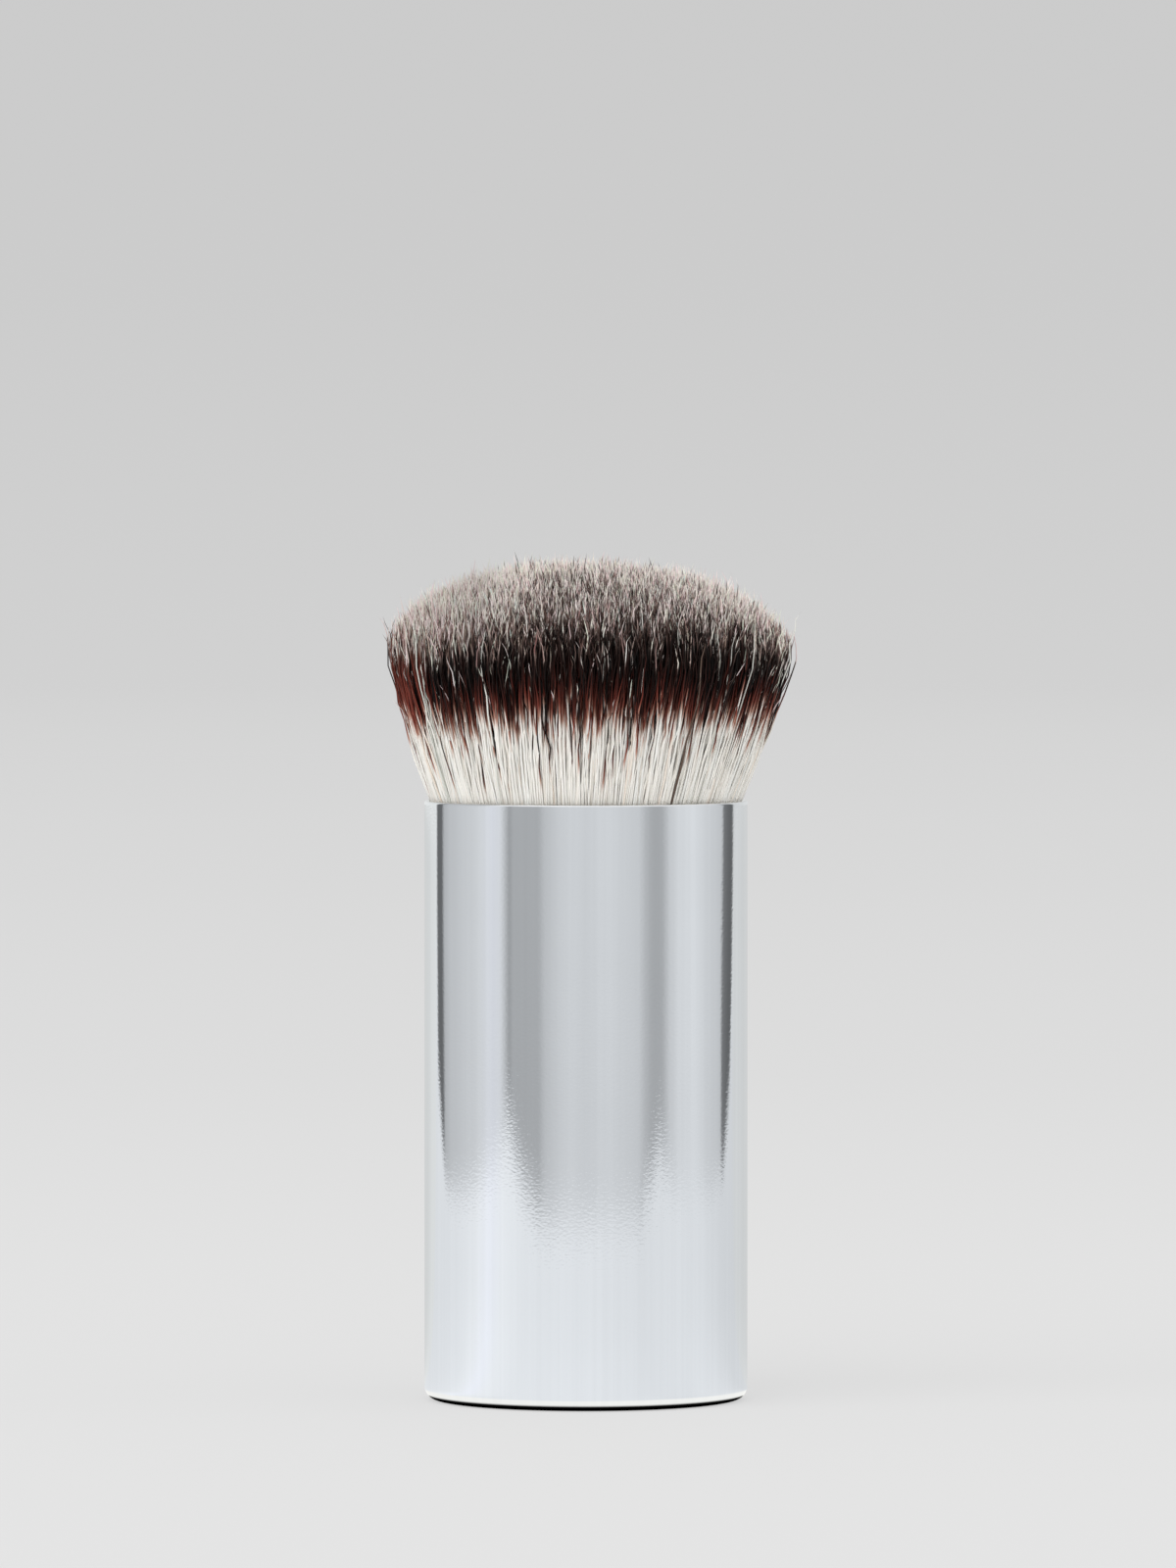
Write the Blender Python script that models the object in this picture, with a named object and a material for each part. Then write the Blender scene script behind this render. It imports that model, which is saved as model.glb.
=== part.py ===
"""Short buffing brush: a polished deep-drawn handle with a flared, domed head of soft bristles.

Metres, +Z up. The origin is the centre of the flat base, and +Z runs up the axis of the handle.
"""

import math

import bmesh
import bpy
from mathutils import Matrix, Vector
from mathutils.geometry import delaunay_2d_cdt

# Handle shell, one deep-drawn aluminium cup
SHELL_RADIUS = 0.0160
SHELL_WALL = 0.0005
SHELL_HEIGHT = 0.0593
SHELL_FLOOR = 0.0008
SHELL_CORNER_RADIUS = 0.0013
RIM_EDGE_RADIUS = 0.0002

# Running gap between seated pieces
FIT_GAP = 0.0003

# Moulded core sleeve, pressed into the shell
SLEEVE_WALL = 0.0011
WEB_THICKNESS = 0.0015
WEB_VENT_RADIUS = 0.0025
RIB_THICKNESS = 0.0012
RIB_DEPTH = 0.0045
RIB_COUNT = 6
SLEEVE_CHAMFER = 0.0004

# Steel weight and the foam disc that it sits on
WEIGHT_HEIGHT = 0.0060
WEIGHT_CHAMFER = 0.0006
CUSHION_THICKNESS = 0.0010

# Ferrule cup that holds the roots of the bristles, sunk below the rim
CUP_BELOW_RIM = 0.0053
CUP_DEPTH = 0.0100
CUP_WALL = 0.0005
CUP_CORNER_RADIUS = 0.0010

# Resin that pots the roots: a plug in the cup, and a slice for each group of bristles
RESIN_BELOW_LIP = 0.0006
SLICE_THICKNESS = 0.0020

# Thread wound round the resin plug
THREAD_DIAMETER = 0.0006
THREAD_GAP = 0.0005
THREAD_TURNS = 3
THREAD_POINTS_PER_TURN = 24

# Head of bristles, measured from the rim up
HEAD_RADIUS = 0.0205
WIDEST_ABOVE_RIM = 0.01405
DOME_HEIGHT = 0.0104
FLARE_BOW_SHARE = 0.3
MID_FLARE_SHARE = 0.5
# The outermost strands end on the dome's shoulder, at this share of the dome's height
SHOULDER_SHARE = 0.25
TIP_TAPER_LENGTH = 0.0024
TIP_RAGGED_LENGTH = 0.0007

# Strands stand in rings round one centre strand: 6 in the first ring, 12 in the second, and so on
STRAND_RINGS = 10
STRANDS_PER_STEP = 6
STRAND_SIDES = 3
# Rings at the outside whose strands are bowed, not straight
BOWED_RINGS = 2
# Radius of a strand's corners: at the root a share of half the resin that a ring has to itself,
# and above a share of the space from ring to ring
ROOT_WIDTH_SHARE = 0.8
RIM_WIDTH_SHARE = 0.44
TOP_WIDTH_SHARE = 0.48
# Turn from ring to ring, and step of the ragged tips, that never line up
GOLDEN_TURN_SHARE = 0.381966

# Which strand rings each bristle node takes, from the middle out
BRISTLE_GROUPS = (
    ("bristle_core", 0, 4),
    ("bristle_ring_1", 5, 6),
    ("bristle_ring_2", 7, 7),
    ("bristle_ring_3", 8, 8),
    ("bristle_ring_4", 9, 9),
    ("bristle_ring_5", 10, 10),
)

# Bristle colour from the resin, 0, to the top of the dome, 1
FIBRE_TONE_SHARES = (
    (0.00, (0.74, 0.70, 0.62)),
    (0.42, (0.66, 0.58, 0.50)),
    (0.50, (0.16, 0.04, 0.025)),
    (0.60, (0.03, 0.012, 0.01)),
    (0.74, (0.05, 0.035, 0.03)),
    (0.88, (0.36, 0.31, 0.29)),
    (1.00, (0.60, 0.54, 0.51)),
)

# Steps round each kind of turned piece, and along its rounded corners
SHELL_STEPS = 64
INNER_STEPS = 48
SLICE_STEPS = 36
CORNER_STEPS = 4
INNER_CORNER_STEPS = 2
MERGE_DISTANCE = 0.000001
SMOOTH_ANGLE = math.radians(40)

# Sizes that follow from the ones above, from the base up
SHELL_BORE = SHELL_RADIUS - SHELL_WALL
SLEEVE_RADIUS = SHELL_BORE - FIT_GAP
SLEEVE_BORE = SLEEVE_RADIUS - SLEEVE_WALL
CUSHION_BOTTOM = SHELL_FLOOR + FIT_GAP
WEIGHT_BOTTOM = CUSHION_BOTTOM + CUSHION_THICKNESS + FIT_GAP
WEB_BOTTOM = WEIGHT_BOTTOM + WEIGHT_HEIGHT + FIT_GAP
WEB_TOP = WEB_BOTTOM + WEB_THICKNESS
CUP_RADIUS = SLEEVE_BORE - FIT_GAP
CUP_BORE = CUP_RADIUS - CUP_WALL
CUP_TOP = SHELL_HEIGHT - CUP_BELOW_RIM
CUP_BOTTOM = CUP_TOP - CUP_DEPTH
SLEEVE_TOP = CUP_TOP - CUP_WALL - FIT_GAP
RIB_TOP = CUP_BOTTOM - FIT_GAP
RESIN_RADIUS = CUP_BORE - FIT_GAP
SLICE_TOP = CUP_TOP - RESIN_BELOW_LIP
SLICE_BOTTOM = SLICE_TOP - SLICE_THICKNESS
PLUG_TOP = SLICE_BOTTOM - FIT_GAP
PLUG_BOTTOM = CUP_BOTTOM + CUP_WALL + FIT_GAP
THREAD_PITCH = THREAD_DIAMETER + THREAD_GAP
THREAD_RISE = THREAD_PITCH * THREAD_TURNS
GROOVE_RADIUS = RESIN_RADIUS - THREAD_DIAMETER - FIT_GAP
GROOVE_HEIGHT = THREAD_RISE + THREAD_DIAMETER + FIT_GAP
GROOVE_BOTTOM = (PLUG_TOP + PLUG_BOTTOM - GROOVE_HEIGHT) / 2
WIDEST_Z = SHELL_HEIGHT + WIDEST_ABOVE_RIM

# Half the space from ring to ring on the resin, and the radius of a strand's corners there
ROOT_HALF_SPACE = RESIN_RADIUS / (STRAND_RINGS * 2 + 1)
ROOT_WIDTH = (ROOT_HALF_SPACE - FIT_GAP / 2) * ROOT_WIDTH_SHARE

# Radius of the outermost ring of strand centres at the resin, the rim and the widest height
ROOT_CENTRES = ROOT_HALF_SPACE * STRAND_RINGS * 2
RIM_CENTRES = (SHELL_BORE - FIT_GAP) / (1 + RIM_WIDTH_SHARE / STRAND_RINGS)
WIDEST_CENTRES = HEAD_RADIUS / (1 + TOP_WIDTH_SHARE / STRAND_RINGS)


def clear_scene():
    for thing in list(bpy.data.objects):
        bpy.data.objects.remove(thing)


def material(name, colour, roughness, metallic=0.0):
    """A Principled material of one colour."""
    made = bpy.data.materials.new(name)
    made.use_nodes = True
    shader = made.node_tree.nodes["Principled BSDF"]
    shader.inputs["Base Color"].default_value = (*colour, 1.0)
    shader.inputs["Roughness"].default_value = roughness
    shader.inputs["Metallic"].default_value = metallic
    made.diffuse_color = (*colour, 1.0)
    return made


def banded_material(name, low, high, tone_shares, roughness):
    """A Principled material whose colour follows the height between low and high."""
    made = material(name, tone_shares[0][1], roughness)
    nodes, links = made.node_tree.nodes, made.node_tree.links
    place = nodes.new("ShaderNodeTexCoord")
    split = nodes.new("ShaderNodeSeparateXYZ")
    height = nodes.new("ShaderNodeMapRange")
    ramp = nodes.new("ShaderNodeValToRGB")
    height.inputs["From Min"].default_value = low
    height.inputs["From Max"].default_value = high
    tones = ramp.color_ramp.elements
    tones.remove(tones[-1])
    for share, colour in tone_shares:
        tones.new(share).color = (*colour, 1.0)
    tones.remove(tones[0])
    links.new(place.outputs["Object"], split.inputs[0])
    links.new(split.outputs["Z"], height.inputs["Value"])
    links.new(height.outputs["Result"], ramp.inputs["Fac"])
    links.new(ramp.outputs["Color"], nodes["Principled BSDF"].inputs["Base Color"])
    return made


def between(low, high, share):
    return low + (high - low) * share


def polar(radius, angle, z):
    return Vector((radius * math.cos(angle), radius * math.sin(angle), z))


def place_mesh(name, mesh_data, finish):
    """A smooth-shaded object from a finished bmesh."""
    mesh = bpy.data.meshes.new(name)
    mesh_data.to_mesh(mesh)
    mesh_data.free()
    mesh.materials.append(finish)
    mesh.shade_smooth()
    mesh.set_sharp_from_angle(angle=SMOOTH_ANGLE)
    made = bpy.data.objects.new(name, mesh)
    bpy.context.scene.collection.objects.link(made)
    return made


def arc(centre_r, centre_z, radius, start, end, steps=INNER_CORNER_STEPS):
    """Points (r, z) along an arc, its angles in degrees from +r towards +z."""
    points = []
    for step in range(steps + 1):
        angle = math.radians(start + (end - start) * step / steps)
        points.append((centre_r + radius * math.cos(angle), centre_z + radius * math.sin(angle)))
    return points


def turned(name, outline, finish, steps=INNER_STEPS):
    """A solid of revolution round Z. The outline of (r, z) points is closed, or starts and ends on Z."""
    body = bmesh.new()
    points = [body.verts.new((r, 0, z)) for r, z in outline]
    on_axis = outline[0][0] == 0 and outline[-1][0] == 0
    pairs = list(zip(points, points[1:]))
    if not on_axis:
        pairs.append((points[-1], points[0]))
    edges = [body.edges.new(pair) for pair in pairs]
    bmesh.ops.spin(
        body, geom=points + edges, axis=(0, 0, 1), cent=(0, 0, 0), dvec=(0, 0, 0),
        angle=math.tau, steps=steps, use_merge=True,
    )
    bmesh.ops.remove_doubles(body, verts=body.verts, dist=MERGE_DISTANCE)
    bmesh.ops.recalc_face_normals(body, faces=body.faces)
    return place_mesh(name, body, finish)


def helper(thing):
    """Marks an object as a cutter or tool, which isn't part of the brush."""
    thing.hide_render = True
    thing.display_type = "WIRE"
    return thing


def combine(target, tool, operation):
    step = target.modifiers.new(operation.lower() + "_" + tool.name, "BOOLEAN")
    step.object = tool
    step.operation = operation
    step.solver = "EXACT"
    helper(tool)


def make_shell(finish):
    """Closed at the base, with a rounded lower corner and a rounded rim."""
    corner = min(SHELL_CORNER_RADIUS, SHELL_WALL + SHELL_FLOOR)
    inner_corner = max(corner - SHELL_WALL, corner / 2)
    edge = min(RIM_EDGE_RADIUS, SHELL_WALL / 2)
    outline = [(0, 0)]
    outline += arc(SHELL_RADIUS - corner, corner, corner, -90, 0, CORNER_STEPS)
    outline += arc(SHELL_RADIUS - edge, SHELL_HEIGHT - edge, edge, 0, 90)
    outline += arc(SHELL_BORE + edge, SHELL_HEIGHT - edge, edge, 90, 180)
    outline += arc(SHELL_BORE - inner_corner, SHELL_FLOOR + inner_corner, inner_corner, 0, -90)
    outline += [(0, SHELL_FLOOR)]
    return turned("handle_shell", outline, finish, SHELL_STEPS)


def make_sleeve(finish):
    """Tube with a web over the weight, and ribs up to the ferrule cup."""
    inner_corner = max(SHELL_CORNER_RADIUS - SHELL_WALL, SHELL_CORNER_RADIUS / 2)
    foot = SLEEVE_RADIUS - min(inner_corner, SLEEVE_WALL / 2)
    outline = [
        (SLEEVE_BORE, CUSHION_BOTTOM),
        (foot, CUSHION_BOTTOM),
        (SLEEVE_RADIUS, CUSHION_BOTTOM + inner_corner),
        (SLEEVE_RADIUS, SLEEVE_TOP - SLEEVE_CHAMFER),
        (SLEEVE_RADIUS - min(SLEEVE_CHAMFER, SLEEVE_WALL / 2), SLEEVE_TOP),
        (SLEEVE_BORE, SLEEVE_TOP),
        (SLEEVE_BORE, WEB_TOP),
        (WEB_VENT_RADIUS, WEB_TOP),
        (WEB_VENT_RADIUS, WEB_BOTTOM),
        (SLEEVE_BORE, WEB_BOTTOM),
    ]
    sleeve = turned("core_sleeve", outline, finish)
    ribs = bmesh.new()
    overlap = SLEEVE_WALL / 2
    for number in range(RIB_COUNT):
        size = Matrix.Diagonal((RIB_DEPTH + overlap, RIB_THICKNESS, RIB_TOP - WEB_TOP + overlap, 1))
        middle = Vector((
            SLEEVE_BORE + overlap - (RIB_DEPTH + overlap) / 2,
            0,
            (RIB_TOP + WEB_TOP - overlap) / 2,
        ))
        turn = Matrix.Rotation(math.tau * number / RIB_COUNT, 4, "Z")
        bmesh.ops.create_cube(ribs, size=1, matrix=turn @ Matrix.Translation(middle) @ size)
    combine(sleeve, place_mesh("sleeve_ribs", ribs, finish), "UNION")
    return sleeve


def make_weight(finish):
    """Steel slug with chamfered edges."""
    radius = SLEEVE_BORE - FIT_GAP
    bevel = min(WEIGHT_CHAMFER, WEIGHT_HEIGHT / 2)
    top = WEIGHT_BOTTOM + WEIGHT_HEIGHT
    outline = [
        (0, WEIGHT_BOTTOM),
        (radius - bevel, WEIGHT_BOTTOM),
        (radius, WEIGHT_BOTTOM + bevel),
        (radius, top - bevel),
        (radius - bevel, top),
        (0, top),
    ]
    return turned("base_weight", outline, finish)


def make_cushion(finish):
    """Foam disc under the weight."""
    radius = SLEEVE_BORE - FIT_GAP
    top = CUSHION_BOTTOM + CUSHION_THICKNESS
    outline = [(0, CUSHION_BOTTOM), (radius, CUSHION_BOTTOM), (radius, top), (0, top)]
    return turned("weight_cushion", outline, finish)


def make_ferrule_cup(finish):
    """Thin pressed cup, with a lip that sits on the sleeve."""
    corner = max(CUP_CORNER_RADIUS, CUP_WALL)
    inner_corner = corner - CUP_WALL / 2
    outline = [(0, CUP_BOTTOM)]
    outline += arc(CUP_RADIUS - corner, CUP_BOTTOM + corner, corner, -90, 0)
    outline += [
        (CUP_RADIUS, CUP_TOP - CUP_WALL),
        (SLEEVE_RADIUS, CUP_TOP - CUP_WALL),
        (SLEEVE_RADIUS, CUP_TOP),
        (CUP_BORE, CUP_TOP),
    ]
    outline += arc(CUP_BORE - inner_corner, CUP_BOTTOM + CUP_WALL + inner_corner, inner_corner, 0, -90)
    outline += [(0, CUP_BOTTOM + CUP_WALL)]
    return turned("ferrule_cup", outline, finish)


def make_resin_plug(finish):
    """Cured resin in the cup, grooved where the thread is wound."""
    corner = CUP_CORNER_RADIUS - CUP_WALL / 2
    groove_top = GROOVE_BOTTOM + GROOVE_HEIGHT
    outline = [
        (0, PLUG_BOTTOM),
        (RESIN_RADIUS - corner, PLUG_BOTTOM),
        (RESIN_RADIUS, PLUG_BOTTOM + corner),
        (RESIN_RADIUS, GROOVE_BOTTOM),
        (GROOVE_RADIUS, GROOVE_BOTTOM),
        (GROOVE_RADIUS, groove_top),
        (RESIN_RADIUS, groove_top),
        (RESIN_RADIUS, PLUG_TOP),
        (0, PLUG_TOP),
    ]
    return turned("resin_plug", outline, finish)


def least_gap(path, diameter, apart):
    """Least gap between stretches of a tube that are at least this many points apart along it."""
    return min(
        (first - second).length - diameter
        for number, first in enumerate(path) for second in path[number + apart:]
    )


def make_binding_thread(finish):
    """Thread wound round the resin plug in one unbroken coil."""
    radius = RESIN_RADIUS - THREAD_DIAMETER / 2
    low = GROOVE_BOTTOM + (GROOVE_HEIGHT - THREAD_RISE) / 2
    count = THREAD_TURNS * THREAD_POINTS_PER_TURN
    path = []
    for number in range(count + 1):
        angle = math.tau * number / THREAD_POINTS_PER_TURN
        path.append(polar(radius, angle, low + THREAD_RISE * number / count))
    gap = least_gap(path, THREAD_DIAMETER, THREAD_POINTS_PER_TURN // 2)
    print("binding_thread: least gap to itself, in metres:", gap)
    curve = bpy.data.curves.new("binding_thread", "CURVE")
    curve.dimensions = "3D"
    line = curve.splines.new("POLY")
    line.points.add(count)
    for point, place in zip(line.points, path):
        point.co = (*place, 1)
    curve.bevel_depth = THREAD_DIAMETER / 2
    curve.bevel_resolution = 1
    curve.use_fill_caps = True
    curve.materials.append(finish)
    made = bpy.data.objects.new("binding_thread", curve)
    bpy.context.scene.collection.objects.link(made)
    return made


def outer_centres(z):
    """Radius of the outermost ring of strand centres at height z."""
    if z <= SHELL_HEIGHT:
        return between(ROOT_CENTRES, RIM_CENTRES, (z - SLICE_TOP) / (SHELL_HEIGHT - SLICE_TOP))
    if z <= WIDEST_Z:
        share = (z - SHELL_HEIGHT) / WIDEST_ABOVE_RIM
        return between(RIM_CENTRES, WIDEST_CENTRES, share + FLARE_BOW_SHARE * share * (1 - share))
    share = min((z - WIDEST_Z) / DOME_HEIGHT, SHOULDER_SHARE)
    return WIDEST_CENTRES * math.sqrt(1 - share * share)


def strand_width(z):
    """Radius of a strand's corners at height z, on the resin or from the rim up."""
    if z == SLICE_TOP:
        return ROOT_WIDTH
    share = min((z - SHELL_HEIGHT) / WIDEST_ABOVE_RIM, 1)
    return between(RIM_WIDTH_SHARE, TOP_WIDTH_SHARE, share) * outer_centres(z) / STRAND_RINGS


def tip_height(ring_share):
    """Height where a strand on this share of the bundle's radius meets the dome."""
    shoulder = 1 - SHOULDER_SHARE * SHOULDER_SHARE
    return WIDEST_Z + DOME_HEIGHT * math.sqrt(1 - ring_share * ring_share * shoulder)


def join_loops(body, lower, upper):
    """A wall of quads between two loops of as many corners."""
    for number, corner in enumerate(lower):
        after = (number + 1) % len(lower)
        body.faces.new((corner, lower[after], upper[after], upper[number]))


def fill_between(body, outer, holes):
    """Triangles over the flat area inside the outer loop and outside the holes."""
    corners, edges, owners = [], [], []
    for owner, loop in enumerate([outer] + holes):
        start = len(corners)
        corners += loop
        owners += [owner] * len(loop)
        edges += [(start + number, start + (number + 1) % len(loop)) for number in range(len(loop))]
    places = [corner.co.xy for corner in corners]
    _, _, triangles, origins, _, _ = delaunay_2d_cdt(places, edges, [], 0, MERGE_DISTANCE)
    for triangle in triangles:
        numbers = [origins[place][0] for place in triangle]
        met = {owners[number] for number in numbers}
        if met == {0} or len(met) > 1:
            body.faces.new([corners[number] for number in numbers])


def add_strand(body, ring, angle, tip):
    """One tapered strand, standing on the resin. Returns the corners of its root."""
    ring_share = ring / STRAND_RINGS
    shoulder = tip - TIP_TAPER_LENGTH
    levels = [SLICE_TOP, shoulder]
    if ring > STRAND_RINGS - BOWED_RINGS:
        levels[1:1] = [SHELL_HEIGHT, between(SHELL_HEIGHT, shoulder, MID_FLARE_SHARE)]
    loops = []
    for z in levels:
        centre = polar(ring_share * outer_centres(z), angle, z)
        turns = [angle + math.tau * side / STRAND_SIDES for side in range(STRAND_SIDES)]
        loops.append([body.verts.new(centre + polar(strand_width(z), turn, 0)) for turn in turns])
    for lower, upper in zip(loops, loops[1:]):
        join_loops(body, lower, upper)
    point = body.verts.new(polar(ring_share * outer_centres(tip), angle, tip))
    top = loops[-1]
    for side, corner in enumerate(top):
        body.faces.new((corner, top[(side + 1) % STRAND_SIDES], point))
    return loops[0]


def add_slice_wall(body, radius):
    """A round wall of the resin slice. Returns the corners of its lower and its upper edge."""
    turns = [math.tau * step / SLICE_STEPS for step in range(SLICE_STEPS)]
    lower = [body.verts.new(polar(radius, turn, SLICE_BOTTOM)) for turn in turns]
    upper = [body.verts.new(polar(radius, turn, SLICE_TOP)) for turn in turns]
    join_loops(body, lower, upper)
    return lower, upper


def make_bristles(name, first, last, finish):
    """One group of strand rings, standing on its own slice of the resin."""
    body = bmesh.new()
    clearance = 0 if last == STRAND_RINGS else FIT_GAP / 2
    outer_lower, outer_upper = add_slice_wall(body, (last * 2 + 1) * ROOT_HALF_SPACE - clearance)
    holes = []
    if first > 0:
        inner_lower, inner_upper = add_slice_wall(body, (first * 2 - 1) * ROOT_HALF_SPACE + FIT_GAP / 2)
        join_loops(body, inner_lower, outer_lower)
        holes.append(inner_upper)
    else:
        body.faces.new(outer_lower)
    for ring in range(first, last + 1):
        count = max(ring * STRANDS_PER_STEP, 1)
        for number in range(count):
            ragged_share = (ring + number * GOLDEN_TURN_SHARE) % 1
            tip = tip_height(ring / STRAND_RINGS) - TIP_RAGGED_LENGTH * ragged_share
            turn_share = number / count + ring * GOLDEN_TURN_SHARE
            holes.append(add_strand(body, ring, math.tau * turn_share, tip))
    fill_between(body, outer_upper, holes)
    bmesh.ops.recalc_face_normals(body, faces=body.faces)
    return place_mesh(name, body, finish)


def make_brush():
    clear_scene()
    polished = material("polished_aluminium", (0.86, 0.87, 0.88), 0.12, 1.0)
    satin = material("satin_aluminium", (0.78, 0.78, 0.79), 0.38, 1.0)
    moulded = material("white_moulding", (0.80, 0.80, 0.78), 0.5)
    steel = material("plated_steel", (0.55, 0.55, 0.56), 0.4, 1.0)
    foam = material("black_foam", (0.03, 0.03, 0.03), 0.95)
    resin = material("amber_resin", (0.62, 0.50, 0.28), 0.25)
    thread = material("white_thread", (0.82, 0.80, 0.74), 0.8)
    bristle = banded_material(
        "bristle_fibre", SLICE_TOP, WIDEST_Z + DOME_HEIGHT, FIBRE_TONE_SHARES, 0.6,
    )
    make_shell(polished)
    make_sleeve(moulded)
    make_weight(steel)
    make_cushion(foam)
    make_ferrule_cup(satin)
    make_resin_plug(resin)
    make_binding_thread(thread)
    for name, first, last in BRISTLE_GROUPS:
        make_bristles(name, first, last, bristle)


make_brush()
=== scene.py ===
"""Looks of the short buffing brush: a polished handle, and a domed head of fine tri-colour bristles.

Metres, +Z up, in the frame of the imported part: the centre of the base is the origin, and -Y is the front.
"""

import math

import bmesh
import bpy
import numpy as np
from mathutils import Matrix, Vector


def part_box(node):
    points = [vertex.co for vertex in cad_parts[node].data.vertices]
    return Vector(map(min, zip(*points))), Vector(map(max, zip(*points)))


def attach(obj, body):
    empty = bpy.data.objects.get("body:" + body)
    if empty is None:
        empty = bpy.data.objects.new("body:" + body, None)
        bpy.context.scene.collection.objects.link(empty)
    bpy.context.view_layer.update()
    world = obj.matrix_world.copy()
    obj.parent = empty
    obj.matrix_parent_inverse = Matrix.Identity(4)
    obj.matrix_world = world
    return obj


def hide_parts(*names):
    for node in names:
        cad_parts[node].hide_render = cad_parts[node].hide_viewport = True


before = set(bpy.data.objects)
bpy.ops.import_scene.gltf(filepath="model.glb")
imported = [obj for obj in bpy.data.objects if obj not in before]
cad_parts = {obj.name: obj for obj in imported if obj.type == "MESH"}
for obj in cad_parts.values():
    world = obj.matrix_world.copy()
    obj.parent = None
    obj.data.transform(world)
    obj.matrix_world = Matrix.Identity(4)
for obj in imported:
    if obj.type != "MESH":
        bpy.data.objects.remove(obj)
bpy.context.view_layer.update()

BODY = "root"
MM = 0.001

# Places taken from the frame
SHELL_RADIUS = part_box("handle_shell")[1].x
RIM_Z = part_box("handle_shell")[1].z
RESIN_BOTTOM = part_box("bristle_ring_5")[0].z
RESIN_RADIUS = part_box("resin_plug")[1].x
CUP_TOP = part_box("ferrule_cup")[1].z
HEAD_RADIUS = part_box("bristle_ring_5")[1].x
HEAD_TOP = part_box("bristle_core")[1].z


def between(low, high, share):
    return low + (high - low) * share


def smooth_share(value, low, high):
    share = np.clip((value - low) / (high - low), 0, 1)
    return share * share * (3 - 2 * share)


class Paint:
    """A Principled material, and short calls for the nodes that feed it."""

    def __init__(self, name, roughness=0.5, metallic=0.0):
        self.material = bpy.data.materials.new(name)
        self.material.use_nodes = True
        self.nodes = self.material.node_tree.nodes
        self.links = self.material.node_tree.links
        self.shader = self.nodes["Principled BSDF"]
        self.shader.inputs["Roughness"].default_value = roughness
        self.shader.inputs["Metallic"].default_value = metallic
        self.place = self.add("TexCoord").outputs["Object"]

    def add(self, kind, **settings):
        made = self.nodes.new("ShaderNode" + kind)
        for key, value in settings.items():
            setattr(made, key, value)
        return made

    def feed(self, socket, value):
        """A link from another socket, or a constant."""
        if isinstance(value, bpy.types.NodeSocket):
            self.links.new(value, socket)
        else:
            socket.default_value = value

    def colour(self, value):
        self.feed(self.shader.inputs["Base Color"], value)

    def rough(self, value):
        self.feed(self.shader.inputs["Roughness"], value)

    def axes(self, vector):
        """The parts of a vector, by the names X, Y and Z."""
        made = self.add("SeparateXYZ")
        self.feed(made.inputs[0], vector)
        return made.outputs

    def length(self, vector):
        made = self.add("VectorMath", operation="LENGTH")
        self.feed(made.inputs[0], vector)
        return made.outputs["Value"]

    def stretched(self, x, y, z):
        """Object coordinates, scaled along each axis."""
        mapping = self.add("Mapping")
        mapping.inputs["Scale"].default_value = (x, y, z)
        self.feed(mapping.inputs["Vector"], self.place)
        return mapping.outputs["Vector"]

    def noise(self, density, detail=2.0, vector=None):
        """Noise that repeats this often in a metre."""
        made = self.add("TexNoise")
        self.feed(made.inputs["Vector"], self.place if vector is None else vector)
        self.feed(made.inputs["Scale"], density)
        self.feed(made.inputs["Detail"], detail)
        return made.outputs["Fac"]

    def streaks(self, densities, detail):
        """Noise that repeats this often in a metre along each axis."""
        return self.noise(1.0, detail, self.stretched(*densities))

    def maths(self, operation, first, second=0.0, third=0.0):
        made = self.add("Math", operation=operation)
        for socket, value in zip(made.inputs, (first, second, third)):
            self.feed(socket, value)
        return made.outputs[0]

    def spread(self, value, low, high, to_low=0.0, to_high=1.0):
        """The value, spread from the span between low and high to another span."""
        made = self.add("MapRange")
        for name, number in (
            ("Value", value), ("From Min", low), ("From Max", high), ("To Min", to_low), ("To Max", to_high),
        ):
            self.feed(made.inputs[name], number)
        return made.outputs["Result"]

    def ramp(self, value, stops):
        """A colour ramp. Each stop is a share and a grey tone or a colour."""
        made = self.add("ValToRGB")
        tones = made.color_ramp.elements
        tones.remove(tones[-1])
        for number, (share, tone) in enumerate(stops):
            stop = tones.new(share) if number else tones[0]
            stop.position = share
            stop.color = (tone, tone, tone, 1.0) if isinstance(tone, float) else (*tone, 1.0)
        self.feed(made.inputs["Fac"], value)
        return made.outputs["Color"]

    def graded(self, value, table):
        """A colour ramp whose stops are places on the value's own scale."""
        low, high = table[0][0], table[-1][0]
        stops = [((place - low) / (high - low), tone) for place, tone in table]
        return self.ramp(self.spread(value, low, high), stops)

    def mix(self, share, first, second, blend="MIX"):
        made = self.add("Mix", data_type="RGBA", blend_type=blend)
        self.feed(made.inputs["Factor"], share)
        for socket, value in (("A_Color", first), ("B_Color", second)):
            found = next(s for s in made.inputs if s.identifier == socket)
            self.feed(found, value if isinstance(value, bpy.types.NodeSocket) else (*value, 1.0))
        return next(s for s in made.outputs if s.identifier == "Result_Color")

    def times(self, first, second):
        return self.mix(1.0, first, second, "MULTIPLY")

    def glow(self, tone):
        made = self.add("Emission")
        self.feed(made.inputs["Color"], tone)
        return made.outputs[0]

    def join(self, share, first, second):
        """A mix of two shaders."""
        made = self.add("MixShader")
        for socket, value in zip(made.inputs, (share, first, second)):
            self.feed(socket, value)
        return made.outputs[0]

    def bump(self, height, distance, strength=1.0, below=None):
        made = self.add("Bump")
        self.feed(made.inputs["Height"], height)
        self.feed(made.inputs["Strength"], strength)
        self.feed(made.inputs["Distance"], distance)
        if below is not None:
            self.feed(made.inputs["Normal"], below)
        self.feed(self.shader.inputs["Normal"], made.outputs["Normal"])
        return made.outputs["Normal"]


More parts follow.
